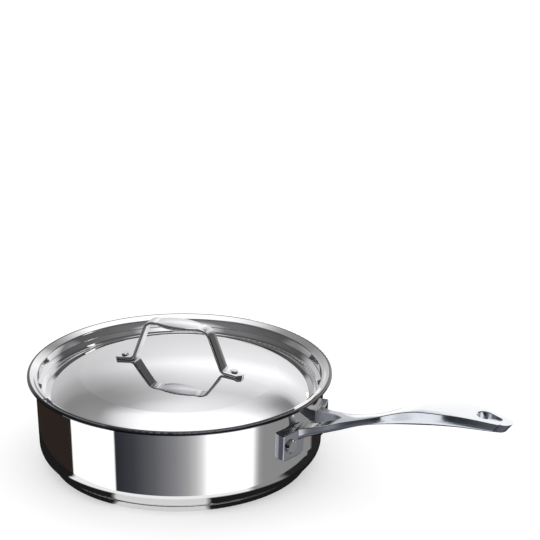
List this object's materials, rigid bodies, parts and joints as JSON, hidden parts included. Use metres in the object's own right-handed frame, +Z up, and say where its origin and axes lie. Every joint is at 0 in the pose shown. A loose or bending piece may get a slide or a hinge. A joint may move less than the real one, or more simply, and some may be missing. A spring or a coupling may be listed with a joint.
{
  "type": "saute pan with lid",
  "caption": "Deep straight-sided steel saute pan with a flared pouring lip, disc base, riveted fork handle and a recessed lid that lifts off by a strap handle.",
  "frame": {"origin": "centre of the base's underside, on the pan's axis", "axes": "+Z up along the pan's axis, +X along the long handle from the axis to the tip"},
  "size_m": [0.4279, 0.2552, 0.1229],
  "materials": {
    "pan_steel": "mirror polished stainless steel outside, satin inside",
    "cap_steel": "mirror polished stainless steel edge, spun underside",
    "core_aluminium": "rolled aluminium disc, closed in",
    "cast_steel": "polished cast stainless steel",
    "rivet_steel": "polished stainless steel rivets",
    "lid_steel": "mirror polished stainless steel",
    "strap_steel": "polished pressed stainless steel strap"
  },
  "bodies": {
    "pan": {"pan_body": "pan_steel", "base_cap": "cap_steel", "base_core": "core_aluminium", "long_handle": "cast_steel", "handle_rivet_front": "rivet_steel", "handle_rivet_back": "rivet_steel"},
    "lid": {"lid": "lid_steel", "lid_handle": "strap_steel", "lid_rivet_left": "rivet_steel", "lid_rivet_right": "rivet_steel"}
  },
  "joints": [
    {"name": "lid_lift", "type": "slide", "parent": "pan", "child": "lid", "axis": [0, 0, 1], "range_m": [0, 0.12]}
  ]
}
